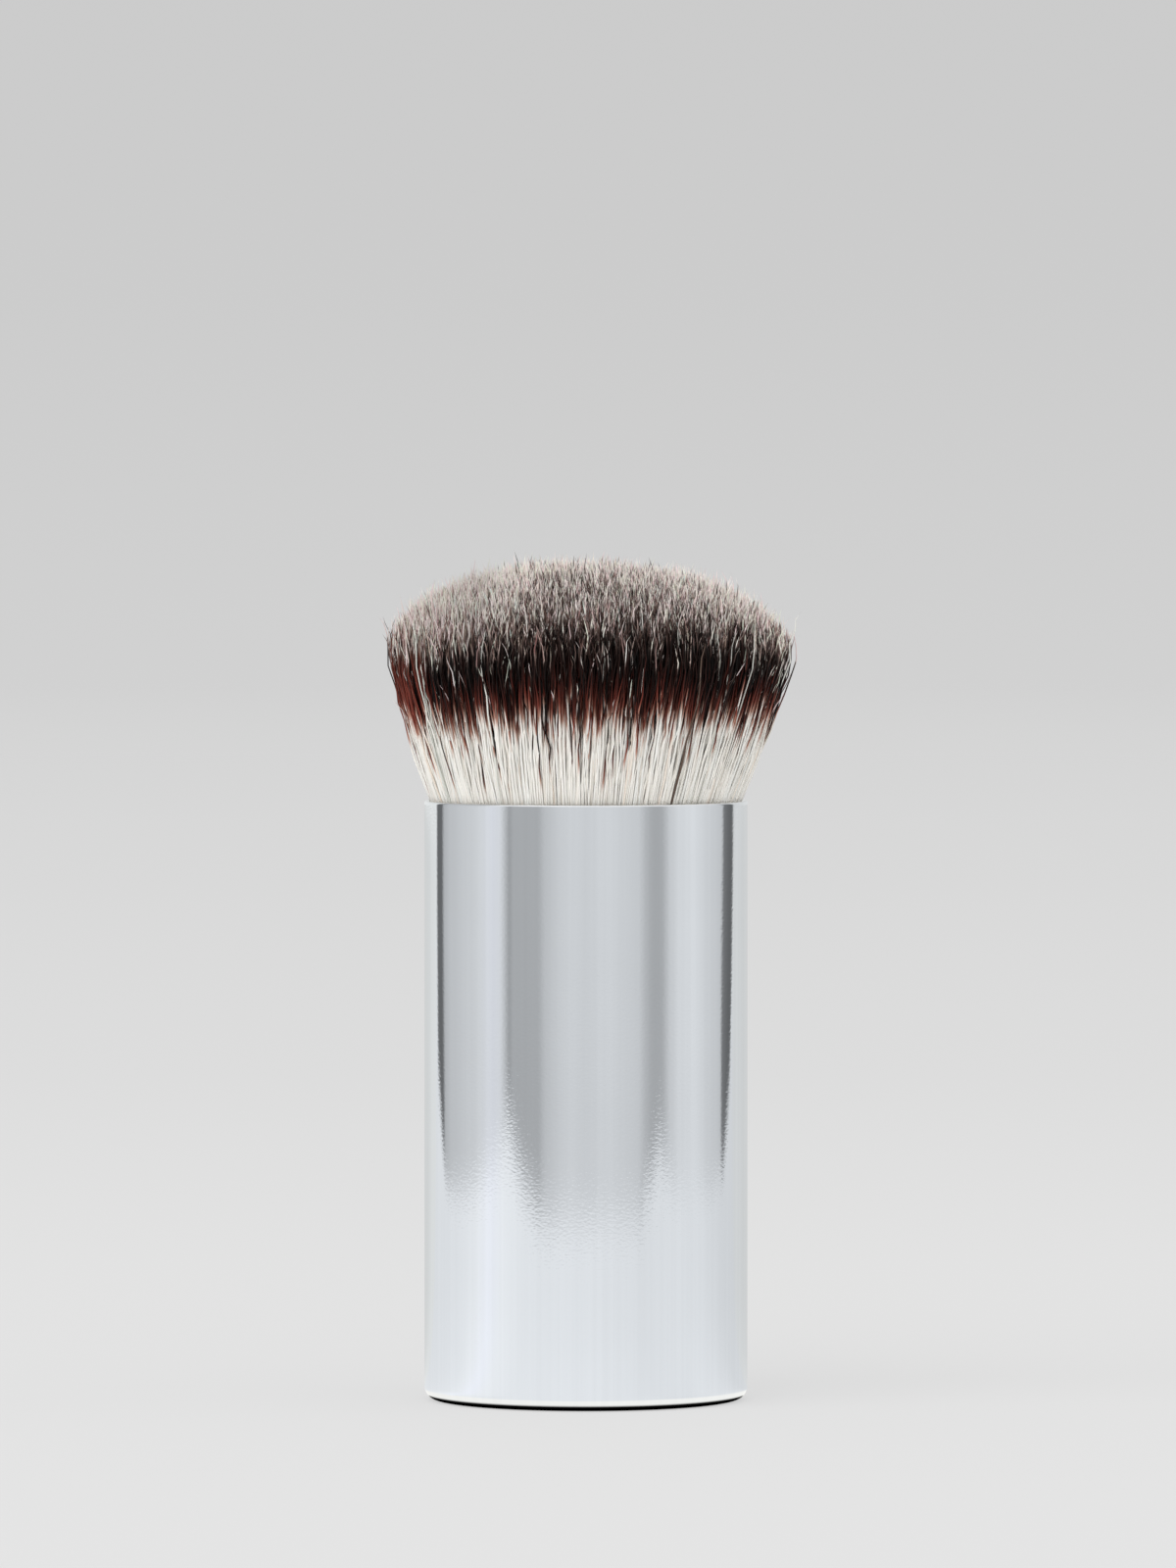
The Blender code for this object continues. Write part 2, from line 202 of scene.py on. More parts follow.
# Finishes. A density is how often a pattern repeats in a metre, in all directions or along X, Y and Z.
# Tones are the colours or greys at shares of a pattern. A roughness is a span of the pattern, and the
# roughness at its two ends.

# A grey band at the top of the rim, painted shade where the hairs meet the metal: how deep it reaches, and
# its tone
RIM_SHADE_DEPTH = 0.08 * MM
RIM_SHADE_TONE = (0.50, 0.50, 0.48)
HAZE_DENSITY = 90.0
HAZE_TONES = ((0.30, (0.895, 0.910, 0.928)), (0.70, (0.915, 0.930, 0.948)))
HAZE_ROUGHNESS = (0.3, 0.7, 0.024, 0.042)
DRAWN_DENSITIES = (1400.0, 1400.0, 9.0)
DRAWN_TONES = ((0.35, 0.975), (0.62, 1.0))
WIPE_DENSITIES = (900.0, 900.0, 60.0)
WIPE_ROUGHNESS = (0.4, 0.8, 0.0, 0.018)
RIPPLE_DENSITIES = (2900.0, 2900.0, 4000.0)
RIPPLE_DEPTH = 0.0034 * MM
WAVE_DENSITIES = (150.0, 150.0, 30.0)
WAVE_DEPTH = 0.005 * MM


def polished_aluminium():
    """Bright drawn aluminium: a faint ripple, polishing haze, fine marks, and a grey band at the rim's top
    that is painted shade where the hairs meet it.
    """
    paint = Paint("polished_aluminium", metallic=1.0)
    haze = paint.noise(HAZE_DENSITY, detail=4.0)
    drawn = paint.ramp(paint.streaks(DRAWN_DENSITIES, detail=3.0), DRAWN_TONES)
    bright = paint.times(paint.ramp(haze, HAZE_TONES), drawn)
    height = paint.axes(paint.place)["Z"]
    # Painted shade: the rim's top turns grey where the hairs meet it
    rim_shade = paint.spread(height, RIM_Z - RIM_SHADE_DEPTH, RIM_Z - RIM_SHADE_DEPTH / 2)
    paint.colour(paint.mix(rim_shade, bright, RIM_SHADE_TONE))
    wiped = paint.spread(paint.streaks(WIPE_DENSITIES, detail=3.0), *WIPE_ROUGHNESS)
    paint.rough(paint.maths("ADD", paint.spread(haze, *HAZE_ROUGHNESS), wiped))
    rippled = paint.bump(paint.streaks(RIPPLE_DENSITIES, detail=3.0), RIPPLE_DEPTH)
    paint.bump(paint.streaks(WAVE_DENSITIES, detail=1.0), WAVE_DEPTH, below=rippled)
    return paint.material


BRUSHED_DENSITIES = (150.0, 150.0, 6000.0)
BRUSHED_TONES = ((0.25, (0.70, 0.71, 0.72)), (0.75, (0.83, 0.83, 0.84)))
BRUSHED_ROUGHNESS = (0.2, 0.8, 0.30, 0.46)
BRUSHED_DEPTH = 0.01 * MM


def satin_aluminium():
    """Pressed aluminium, brushed round its axis."""
    paint = Paint("satin_aluminium", metallic=1.0)
    grain = paint.streaks(BRUSHED_DENSITIES, detail=4.0)
    paint.colour(paint.ramp(grain, BRUSHED_TONES))
    paint.rough(paint.spread(grain, *BRUSHED_ROUGHNESS))
    paint.bump(grain, BRUSHED_DEPTH, strength=0.4)
    return paint.material


MOULDING_DENSITY = 180.0
MOULDING_TONES = ((0.3, (0.76, 0.76, 0.73)), (0.7, (0.83, 0.83, 0.81)))
SPARK_DENSITY = 9000.0
SPARK_ROUGHNESS = (0.3, 0.7, 0.46, 0.60)
SPARK_DEPTH = 0.01 * MM


def white_moulding():
    """Glass-filled white plastic with a spark-eroded texture."""
    paint = Paint("white_moulding")
    paint.colour(paint.ramp(paint.noise(MOULDING_DENSITY, detail=3.0), MOULDING_TONES))
    grain = paint.noise(SPARK_DENSITY)
    paint.rough(paint.spread(grain, *SPARK_ROUGHNESS))
    paint.bump(grain, SPARK_DEPTH, strength=0.35)
    return paint.material


PLATING_DENSITY = 300.0
PLATING_TONES = ((0.3, (0.50, 0.51, 0.54)), (0.7, (0.64, 0.64, 0.65)))
PLATING_ROUGHNESS = (0.3, 0.7, 0.28, 0.44)
TOOL_MARK_PITCH = 0.25 * MM
TOOL_MARK_DEPTH = 0.01 * MM


def plated_steel():
    """Turned steel under zinc plating: fine tool marks and a clouded, faintly blue finish."""
    paint = Paint("plated_steel", metallic=1.0)
    radius = paint.length(paint.stretched(1.0, 1.0, 0.0))
    rings = paint.maths("SINE", paint.maths("MULTIPLY", radius, math.tau / TOOL_MARK_PITCH))
    cloud = paint.noise(PLATING_DENSITY, detail=5.0)
    paint.colour(paint.ramp(cloud, PLATING_TONES))
    paint.rough(paint.spread(cloud, *PLATING_ROUGHNESS))
    paint.bump(rings, TOOL_MARK_DEPTH, strength=0.3)
    return paint.material


PORE_DENSITY = 2600.0
# Tones from the middle of a pore outwards: the pores are darker as painted shade
FOAM_TONES_AND_PORE_SHADE = ((0.05, (0.008, 0.008, 0.008)), (0.45, (0.045, 0.045, 0.047)))
PORE_ROUGHNESS = (0.0, 0.6, 1.0, 0.85)
PORE_DEPTH = 0.1 * MM


def black_foam():
    """Open-celled black foam, darker in its pores as painted shade."""
    paint = Paint("black_foam", roughness=0.95)
    cells = paint.add("TexVoronoi")
    paint.feed(cells.inputs["Vector"], paint.place)
    paint.feed(cells.inputs["Scale"], PORE_DENSITY)
    pore = cells.outputs["Distance"]
    # Painted shade: darker in the pits of the pores
    paint.colour(paint.ramp(pore, FOAM_TONES_AND_PORE_SHADE))
    paint.rough(paint.spread(pore, *PORE_ROUGHNESS))
    paint.bump(pore, PORE_DEPTH, strength=0.8)
    return paint.material


RESIN_DENSITY = 420.0
RESIN_TONES = ((0.3, (0.42, 0.29, 0.12)), (0.7, (0.66, 0.54, 0.31)))
RESIN_ROUGHNESS = (0.3, 0.7, 0.16, 0.34)
RESIN_WAVE_DENSITY = 900.0
RESIN_WAVE_DEPTH = 0.05 * MM


def amber_resin():
    """Cured resin, clouded where it has wicked between the roots."""
    paint = Paint("amber_resin")
    cloud = paint.noise(RESIN_DENSITY, detail=4.0)
    paint.colour(paint.ramp(cloud, RESIN_TONES))
    paint.rough(paint.spread(cloud, *RESIN_ROUGHNESS))
    paint.bump(paint.noise(RESIN_WAVE_DENSITY), RESIN_WAVE_DEPTH, strength=0.5)
    return paint.material


# How far up the next strand of the plies lies, and how many strands show in one turn of the coil
PLY_PITCH = 1.1 * MM
PLY_STRANDS = 100.0
# Tones of the plies from groove to crest: the grooves are darker as painted shade
PLY_TONES_AND_GROOVE_SHADE = ((0.0, (0.55, 0.53, 0.47)), (0.6, (0.83, 0.81, 0.76)))
FUZZ_DENSITY = 8000.0
FUZZ_ROUGHNESS = (0.3, 0.7, 0.7, 0.9)
THREAD_DEPTH = 0.05 * MM


def white_thread():
    """Two-ply polyester thread: diagonal strands with a fuzz of fine fibres, darker in the grooves between
    strands as painted shade.
    """
    paint = Paint("white_thread", roughness=0.8)
    axes = paint.axes(paint.place)
    along = paint.maths("MULTIPLY", paint.maths("ARCTAN2", axes["Y"], axes["X"]), PLY_STRANDS)
    across = paint.maths("MULTIPLY", axes["Z"], math.tau / PLY_PITCH)
    ply = paint.maths("SINE", paint.maths("ADD", along, across))
    # Painted shade: darker where the ply pattern sinks between the strands
    paint.colour(paint.ramp(paint.spread(ply, -1.0, 1.0), PLY_TONES_AND_GROOVE_SHADE))
    fuzz = paint.noise(FUZZ_DENSITY, detail=3.0)
    paint.rough(paint.spread(fuzz, *FUZZ_ROUGHNESS))
    paint.bump(paint.maths("ADD", ply, fuzz), THREAD_DEPTH, strength=0.6)
    return paint.material


# Dyed hair. The hair map's full height stands for this length of hair, and each hair has this share of
# the map's width.
BAND_SPAN = 32 * MM
STRIP_WIDTH_SHARE = 0.004
# Dye along a hair: distance from the tip in millimetres, and the colour there
BLACK_DYE = (
    (0.0, (0.300, 0.250, 0.230)),
    (1.1, (0.044, 0.032, 0.028)),
    (1.9, (0.005, 0.004, 0.0035)),
    (5.4, (0.004, 0.0025, 0.002)),
    (6.7, (0.026, 0.008, 0.006)),
    (7.5, (0.105, 0.036, 0.024)),
    (8.3, (0.450, 0.300, 0.235)),
    (9.3, (0.960, 0.890, 0.830)),
)
RED_DYE = (
    (0.0, (0.400, 0.300, 0.270)),
    (1.1, (0.100, 0.060, 0.050)),
    (2.0, (0.022, 0.010, 0.008)),
    (3.8, (0.024, 0.009, 0.007)),
    (5.4, (0.080, 0.017, 0.012)),
    (7.2, (0.225, 0.052, 0.035)),
    (8.2, (0.520, 0.270, 0.200)),
    (9.3, (0.960, 0.860, 0.790)),
)
# Dye of the hairs at the far left, which are red right up to their tips
SIDE_DYE = (
    (0.0, (0.400, 0.300, 0.270)),
    (1.1, (0.150, 0.070, 0.050)),
    (2.0, (0.120, 0.028, 0.019)),
    (5.0, (0.170, 0.038, 0.026)),
    (7.2, (0.225, 0.052, 0.035)),
    (8.2, (0.520, 0.270, 0.200)),
    (9.3, (0.960, 0.860, 0.790)),
)
# Where they stand, from the middle out
SIDE_DYE_PLACE = (-15.4 * MM, -16.4 * MM)
# The tips are darker at the left: distance across from the middle in millimetres, and how light they are
TIP_SHADES = ((-19.0, 0.90), (-15.5, 0.84), (-11.0, 0.71), (-6.0, 1.0), (19.0, 1.0))
# Distances from the tip in millimetres over which the tip's own tone ends and the root's begins
TIP_FADE = (0.28, 0.60)
ROOT_FADE = (8.2, 9.8)
TIP_TONES = (
    (0.20, (0.04, 0.025, 0.02)),
    (0.27, (0.22, 0.13, 0.110)),
    (0.34, (0.66, 0.500, 0.450)),
    (0.62, (0.92, 0.800, 0.75)),
    (0.72, (0.97, 0.920, 0.875)),
    (0.82, (0.98, 0.965, 0.920)),
)
# A faint rose, straw or green cast that differs from hair to hair
TIP_HUES = (
    (0.34, (0.95, 0.72, 0.77)),
    (0.45, (1.00, 0.94, 0.98)),
    (0.52, (0.99, 0.99, 0.97)),
    (0.60, (0.94, 1.00, 0.86)),
    (0.70, (0.78, 1.00, 0.99)),
)
ROOT_TONES = (
    (0.20, (0.58, 0.44, 0.34)),
    (0.26, (0.93, 0.83, 0.73)),
    (0.38, (0.96, 0.925, 0.86)),
    (0.55, (0.96, 0.94, 0.89)),
    (0.68, (0.96, 0.96, 0.925)),
)
# Shares of the map, at its far side and its near side, whose hairs took no dye or are dark all along
UNDYED_SHARE = 0.012
UNDYED_TONE = (0.80, 0.80, 0.74)
DARK_SHARE = 0.003
DARK_TONE = (0.120, 0.082, 0.064)
# Each lot is drawn from noise: how many of its waves the map spans, and where they start
RED_LOT = (173.0, 0.0)
TIP_LOT = (211.0, 5.0)
HUE_LOT = (317.0, 23.0)
ROOT_LOT = (139.0, 11.0)
# Spans of the red lot over which a hair's dye turns from black to red, and to the side's red
RED_SPAN = (0.45, 0.57)
SIDE_RED_SPAN = (0.41, 0.47)
# Hairs whose place across the map is past these shares have the light tips, and stand a little taller
LIGHT_FROM = (0.56, 0.72)
# How much of a tip's tone comes from being one of them, and how much from its lot
LIGHT_GAIN = 0.45
LOT_GAIN = 0.55
FIBRE_ROUGHNESS = 0.42
FIBRE_SPECULAR = 0.13


def hair_lot(paint, hair, waves, start):
    """A number from 0 to 1 that is the same all along a hair, and mostly near the middle."""
    joined = paint.add("CombineXYZ")
    paint.feed(joined.inputs["X"], paint.maths("MULTIPLY_ADD", hair, waves, start))
    return paint.noise(1.0, 0.0, joined.outputs[0])


def bristle_fibre():
    """Dyed synthetic hair. The map runs with U by hair and V from the tip, 0, down."""
    paint = Paint("bristle_fibre", roughness=FIBRE_ROUGHNESS)
    on_map = paint.axes(paint.add("UVMap", uv_map="OFBake").outputs["UV"])
    hair = on_map["X"]
    down = paint.maths("MULTIPLY", on_map["Y"], BAND_SPAN / MM)
    across = paint.axes(paint.place)["X"]
    blackish, reddish, side = (
        paint.ramp(on_map["Y"], [(length * MM / BAND_SPAN, tone) for length, tone in dye])
        for dye in (BLACK_DYE, RED_DYE, SIDE_DYE)
    )
    red_lot = hair_lot(paint, hair, *RED_LOT)
    dyed = paint.mix(paint.spread(red_lot, *RED_SPAN), blackish, reddish)
    at_side = paint.spread(across, *SIDE_DYE_PLACE)
    dyed = paint.mix(paint.maths("MULTIPLY", at_side, paint.spread(red_lot, *SIDE_RED_SPAN)), dyed, side)
    light = paint.spread(hair, *LIGHT_FROM, 0.0, LIGHT_GAIN)
    lightness = paint.maths("MULTIPLY_ADD", hair_lot(paint, hair, *TIP_LOT), LOT_GAIN, light)
    shade = paint.ramp(
        paint.spread(across, -HEAD_RADIUS, HEAD_RADIUS),
        [(0.5 + place * MM / (2 * HEAD_RADIUS), tone) for place, tone in TIP_SHADES],
    )
    tips = paint.times(paint.ramp(lightness, TIP_TONES), shade)
    tips = paint.times(tips, paint.ramp(hair_lot(paint, hair, *HUE_LOT), TIP_HUES))
    roots = paint.ramp(hair_lot(paint, hair, *ROOT_LOT), ROOT_TONES)
    dyed = paint.mix(paint.spread(down, *TIP_FADE, 1.0, 0.0), dyed, tips)
    dyed = paint.mix(paint.spread(down, *ROOT_FADE), dyed, roots)
    dyed = paint.mix(paint.maths("GREATER_THAN", hair, 1 - UNDYED_SHARE), dyed, UNDYED_TONE)
    paint.colour(paint.mix(paint.maths("LESS_THAN", hair, DARK_SHARE), dyed, DARK_TONE))
    paint.shader.inputs["Specular IOR Level"].default_value = FIBRE_SPECULAR
    return paint.material


# Handle shell

SHELL_WALL = 0.5 * MM
SHELL_FLOOR = 0.8 * MM
SHELL_SIDES = 192
CORNER_RADIUS = 1.3 * MM
CORNER_STEPS = 12
INNER_CORNER_RADIUS = 0.8 * MM
INNER_CORNER_STEPS = 6
RIM_EDGE_RADIUS = 0.24 * MM
RIM_EDGE_STEPS = 4
# Rings this far from the rounded edges keep the wall between them shaded as a true tube
GUARD_HEIGHT = 0.15 * MM
CUT_REACH = 0.01 * MM
SELECT_REACH = 0.02 * MM
SMOOTH_ANGLE = math.radians(40)


def deselect_all():
    for thing in bpy.context.selected_objects:
        thing.select_set(False)


def start_cylinder(name, radius, low, high, sides):
    """A cylinder primitive at its size and place, in edit mode, with nothing selected."""
    deselect_all()
    bpy.ops.mesh.primitive_cylinder_add(
        vertices=sides, radius=radius, depth=high - low, end_fill_type="NGON",
        location=(0, 0, (low + high) / 2),
    )
    made = bpy.context.object
    made.name = name
    made.data.name = name
    bpy.ops.object.transform_apply(location=True, rotation=True, scale=True)
    bpy.ops.object.mode_set(mode="EDIT")
    bpy.ops.mesh.select_mode(type="FACE")
    bpy.ops.mesh.select_all(action="DESELECT")
    return made


def select_top(made):
    """Selects the faces that look up."""
    mesh = bmesh.from_edit_mesh(made.data)
    for face in mesh.faces:
        face.select_set(face.normal.z > 0.5)
    bmesh.update_edit_mesh(made.data)


def select_ring(made, radius, z):
    """Selects the ring of edges at this radius and height."""
    bpy.ops.mesh.select_mode(type="EDGE")
    bpy.ops.mesh.select_all(action="DESELECT")
    mesh = bmesh.from_edit_mesh(made.data)
    for edge in mesh.edges:
        ends = [corner.co for corner in edge.verts]
        at_radius = all(abs(end.xy.length - radius) < SELECT_REACH for end in ends)
        at_height = all(abs(end.z - z) < SELECT_REACH for end in ends)
        edge.select_set(at_radius and at_height)
    bmesh.update_edit_mesh(made.data)


def bevel_ring(made, radius, z, width, steps):
    select_ring(made, radius, z)
    bpy.ops.mesh.bevel(offset=width, offset_type="OFFSET", segments=steps, profile=0.5, affect="EDGES")


def cut_level(z):
    """A ring of edges all round the mesh at this height."""
    bpy.ops.mesh.select_all(action="SELECT")
    bpy.ops.mesh.bisect(plane_co=(0, 0, z), plane_no=(0, 0, 1), threshold=CUT_REACH)


def finish_mesh(made, finish):
    bpy.ops.object.mode_set(mode="OBJECT")
    bpy.ops.object.shade_smooth_by_angle(angle=SMOOTH_ANGLE)
    made.data.validate()
    made.data.materials.append(finish)


def make_handle_shell(finish):
    """Drawn cup: the top is inset to the wall and pushed down to the floor, then each edge is rounded."""
    shell = start_cylinder("polished_handle", SHELL_RADIUS, 0, RIM_Z, SHELL_SIDES)
    select_top(shell)
    bpy.ops.mesh.inset(thickness=SHELL_WALL, use_boundary=True)
    bpy.ops.mesh.extrude_region_move(TRANSFORM_OT_translate={"value": (0, 0, SHELL_FLOOR - RIM_Z)})
    bore = SHELL_RADIUS - SHELL_WALL
    bevel_ring(shell, bore, SHELL_FLOOR, INNER_CORNER_RADIUS, INNER_CORNER_STEPS)
    bevel_ring(shell, SHELL_RADIUS, 0, CORNER_RADIUS, CORNER_STEPS)
    bevel_ring(shell, bore, RIM_Z, RIM_EDGE_RADIUS, RIM_EDGE_STEPS)
    bevel_ring(shell, SHELL_RADIUS, RIM_Z, RIM_EDGE_RADIUS, RIM_EDGE_STEPS)
    cut_level(CORNER_RADIUS + GUARD_HEIGHT)
    cut_level(RIM_Z - RIM_EDGE_RADIUS - GUARD_HEIGHT)
    finish_mesh(shell, finish)
    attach(shell, BODY)
    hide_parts("handle_shell")


# Resin that the hairs stand in

RESIN_BELOW_LIP = 0.6 * MM
RESIN_TOP = CUP_TOP - RESIN_BELOW_LIP
RESIN_SIDES = 96
RESIN_EDGE_RADIUS = 0.35 * MM
RESIN_TOP_STEPS = 4
RESIN_BOTTOM_STEPS = 3
# The top sinks by this much from each ring to the next one in
SINK_RINGS = 5
SINK_RING_SHARE = 0.17
SINK_STEP = 0.02 * MM

# The bristle nodes, and which share of the bundle's radius, from the middle out, stands for each
HAIR_PIECES = {
    "bristle_core": (0.0, 0.43),
    "bristle_ring_1": (0.43, 0.62),
    "bristle_ring_2": (0.62, 0.715),
    "bristle_ring_3": (0.715, 0.81),
    "bristle_ring_4": (0.81, 0.905),
    "bristle_ring_5": (0.905, 1.0),
}


def make_resin_bed(finish):
    """Disc of resin round the roots, rounded at its edge and sunk a little in the middle."""
    bed = start_cylinder("resin_bed", RESIN_RADIUS, RESIN_BOTTOM, RESIN_TOP, RESIN_SIDES)
    select_top(bed)
    for _ in range(SINK_RINGS):
        bpy.ops.mesh.inset(thickness=RESIN_RADIUS * SINK_RING_SHARE)
        bpy.ops.transform.translate(value=(0, 0, -SINK_STEP))
    bevel_ring(bed, RESIN_RADIUS, RESIN_TOP, RESIN_EDGE_RADIUS, RESIN_TOP_STEPS)
    bevel_ring(bed, RESIN_RADIUS, RESIN_BOTTOM, RESIN_EDGE_RADIUS, RESIN_BOTTOM_STEPS)
    finish_mesh(bed, finish)
    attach(bed, BODY)
    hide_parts(*HAIR_PIECES)


# Outline of the head. The tips scatter about it, so it lies a little inside the head's full size.

RIM_HAIR_GAP = 0.1 * MM
RIM_HAIR_RADIUS = SHELL_RADIUS - SHELL_WALL - RIM_HAIR_GAP
WIDEST_HEIGHT = 14.05 * MM
WIDEST_Z = RIM_Z + WIDEST_HEIGHT
TOP_SCATTER = 1.45 * MM
DOME_HEIGHT = HEAD_TOP - TOP_SCATTER - WIDEST_Z
SIDE_SCATTER = 1.1 * MM
BUNDLE_RADIUS = HEAD_RADIUS - SIDE_SCATTER
# How far the flare bows out of a straight line, as a share of what it widens
FLARE_BOW_SHARE = 0.36
# The outermost tips stand at this share of the dome's height, up to which the bundle narrows again
SHOULDER_SHARE = 0.25
# The bundle's corner at the widest height is rounded this far up and down
ROUNDING = 1.5 * MM
# The head leans to its right, and its dome is higher at the left
BUNDLE_LEAN = 0.45 * MM
DOME_TILT = 0.52 * MM
# It is a little fuller at its right shoulder, between these shares of the bundle's radius
SHOULDER_RISE = 0.35 * MM
SHOULDER_SHARES = (0.3, 0.6)
SHOULDER_END_SHARES = (1.0, 0.85)
# No tip stands higher than this over the head's full height
MOST_OVER_TOP = 0.5 * MM


def sharp_radius(z):
    """Radius of the bundle at height z, with a corner at the widest height."""
    root_share = np.clip((z - RESIN_TOP) / (RIM_Z - RESIN_TOP), 0, 1)
    lower = between(RESIN_RADIUS, RIM_HAIR_RADIUS, root_share)
    share = np.clip((z - RIM_Z) / (WIDEST_Z - RIM_Z), 0, 1)
    flare = between(RIM_HAIR_RADIUS, BUNDLE_RADIUS, share + FLARE_BOW_SHARE * share * (1 - share))
    dome_share = np.clip((z - WIDEST_Z) / DOME_HEIGHT, 0, SHOULDER_SHARE)
    return np.where(z <= RIM_Z, lower, flare) * np.sqrt(1 - dome_share * dome_share)


def bundle_radius(z):
    """The same radius, rounded over the widest height, and exact up to the rim."""
    reach = ROUNDING * np.clip((z - RIM_Z) / ROUNDING, 0, 1)
    return (sharp_radius(z - reach) + sharp_radius(z) + sharp_radius(z + reach)) / 3


def dome_height(share):
    """Height of the dome over this share of the bundle's radius."""
    shoulder = 1 - SHOULDER_SHARE * SHOULDER_SHARE
    return WIDEST_Z + DOME_HEIGHT * np.sqrt(1 - share * share * shoulder)


# How the hairs differ

SEED = 7
HAIR_COUNT = 40000
TUFT_COUNT = 1700
LOCK_COUNT = 280
# A hair strays from its place on an even spiral by about this share of the room that it has
PLACE_STRAY_SHARE = 0.3
# So many hairs are compared with the tufts or locks at a time
NEAREST_AT_ONCE = 2000
# Nearer the middle than this, a hair has no full outward direction
CENTRE_SHARE = 0.01
# Where the rings of a hair lie, as shares of its length from the tip down
INNER_RING_SHARES = (0.035, 0.09, 0.20, 0.50, 1.0)
OUTER_RING_SHARES = (0.03, 0.075, 0.13, 0.20, 0.28, 0.36, 0.44, 0.53, 0.63, 0.75, 1.0)
# Spreads from hair to hair, from tuft to tuft and from lock to lock
TIP_SPREADS = (0.42 * MM, 0.14 * MM, 0.10 * MM)
TOP_EDGE_SPREADS = (0.45 * MM, 0.20 * MM, 0.16 * MM)
LOW_EDGE_SPREADS = (0.36 * MM, 0.28 * MM, 0.36 * MM)
# How much taller a dark hair and a light one stand
LIGHT_RISES = (-0.36 * MM, 0.66 * MM)
LONG_SHARE = 0.02
LONG_RISES = (0.3 * MM, 0.8 * MM)
# More hairs are short at the outside, and short hairs have light tips, up to the last share across the map
SHORT_SHARE = 0.08
OUTER_SHORT_SHARE = 0.30
OUTER_SHARES = (0.88, 0.97)
SHORT_DROP = 1.9 * MM
MOST_SHORT_DROP = 6.0 * MM
SHORT_STRIP_SHARE = 0.99
# A thin lock at the left of the front that took no dye: its place and reach as shares of the bundle's
# radius, and how many of its hairs
LIGHT_LOCK_AT = (-0.865, -0.49)
LIGHT_LOCK_REACH = 0.025
LIGHT_LOCK_SHARE = 0.8
# The outermost hairs splay a little, and a few of them stray
SPLAY = 0.22 * MM
MOST_SPLAY = 0.9 * MM
SPLAY_SHARES = (0.9, 1.0)
STRAY_SHARE = 0.05
STRAY_FROM_SHARE = 0.93
STRAYS = (0.4 * MM, 1.1 * MM)
LEAN_SPREAD = 0.36 * MM
SIDE_LEAN_SPREAD = 0.30 * MM
SWAY_SPREAD = 0.08 * MM
SIDE_SWAY_SPREAD = 0.20 * MM
KINK_SPREAD = 0.075 * MM
FLICK_SPREAD = 0.42 * MM
MOST_FLICK = 0.75 * MM
HAIR_RADIUS = 0.075 * MM
RADIUS_SHARES = (0.75, 1.2)

# On some hairs the light tip runs further down
LIGHT_RUN_SHARE = 0.26
LIGHT_RUN = 1.6 * MM
MOST_LIGHT_RUN = 4.0 * MM
# How much higher the dye's top edge lies at the outside, and how much lower its edges lie all over, at
# the left or right, at the middle and back, and at the right shoulder, with the shares of the bundle's
# radius over which each sets in
EDGE_RISE = 0.7 * MM
EDGE_RISE_SHARES = (0.88, 0.98)
TOP_DIP = 0.15 * MM
LEFT_DIP = 2.3 * MM
LEFT_DIP_SHARES = (0.2, 0.85)
RIGHT_DIP = 0.9 * MM
RIGHT_DIP_SHARES = (0.7, 0.95)
BACK_DIP = 0.40 * MM
SHOULDER_DIP = 0.35 * MM
BACK_DIP_SHARES = (-0.8, -0.2)
LOW_DIP = 0.25 * MM
LEFT_LOW_DIP = 0.4 * MM
LEFT_LOW_DIP_SHARES = (0.42, 0.62)


def on_disc(count, chance):
    """Places on a unit disc, evenly spread and a little uneven."""
    number = np.arange(count)
    share = np.sqrt((number + chance.uniform(0, 1, count)) / count)
    turn = number * math.pi * (3 - math.sqrt(5))
    places = np.stack([share * np.cos(turn), share * np.sin(turn)], 1)
    places += chance.normal(0, PLACE_STRAY_SHARE / math.sqrt(count), (count, 2))
    return places / np.maximum(np.linalg.norm(places, axis=1), 1)[:, None]


def nearest(places, centres):
    """Number of the centre that is nearest to each place."""
    found = np.empty(len(places), int)
    for start in range(0, len(places), NEAREST_AT_ONCE):
        part = places[start:start + NEAREST_AT_ONCE]
        apart = ((part[:, None, :] - centres[None]) ** 2).sum(2)
        found[start:start + NEAREST_AT_ONCE] = apart.argmin(1)
    return found


def dye_shifts(roots, share, shoulder):
    """How much higher the dye's top and low edges lie on each hair, by its place in the head."""
    across = roots[:, 0]
    top = EDGE_RISE * smooth_share(share, *EDGE_RISE_SHARES) - TOP_DIP
    top -= LEFT_DIP * smooth_share(-across, *LEFT_DIP_SHARES)
    top -= RIGHT_DIP * smooth_share(across, *RIGHT_DIP_SHARES)
    top -= (BACK_DIP + SHOULDER_DIP * shoulder) * smooth_share(roots[:, 1], *BACK_DIP_SHARES)
    low = -LOW_DIP - LEFT_LOW_DIP * smooth_share(-across, *LEFT_LOW_DIP_SHARES)
    return top, low


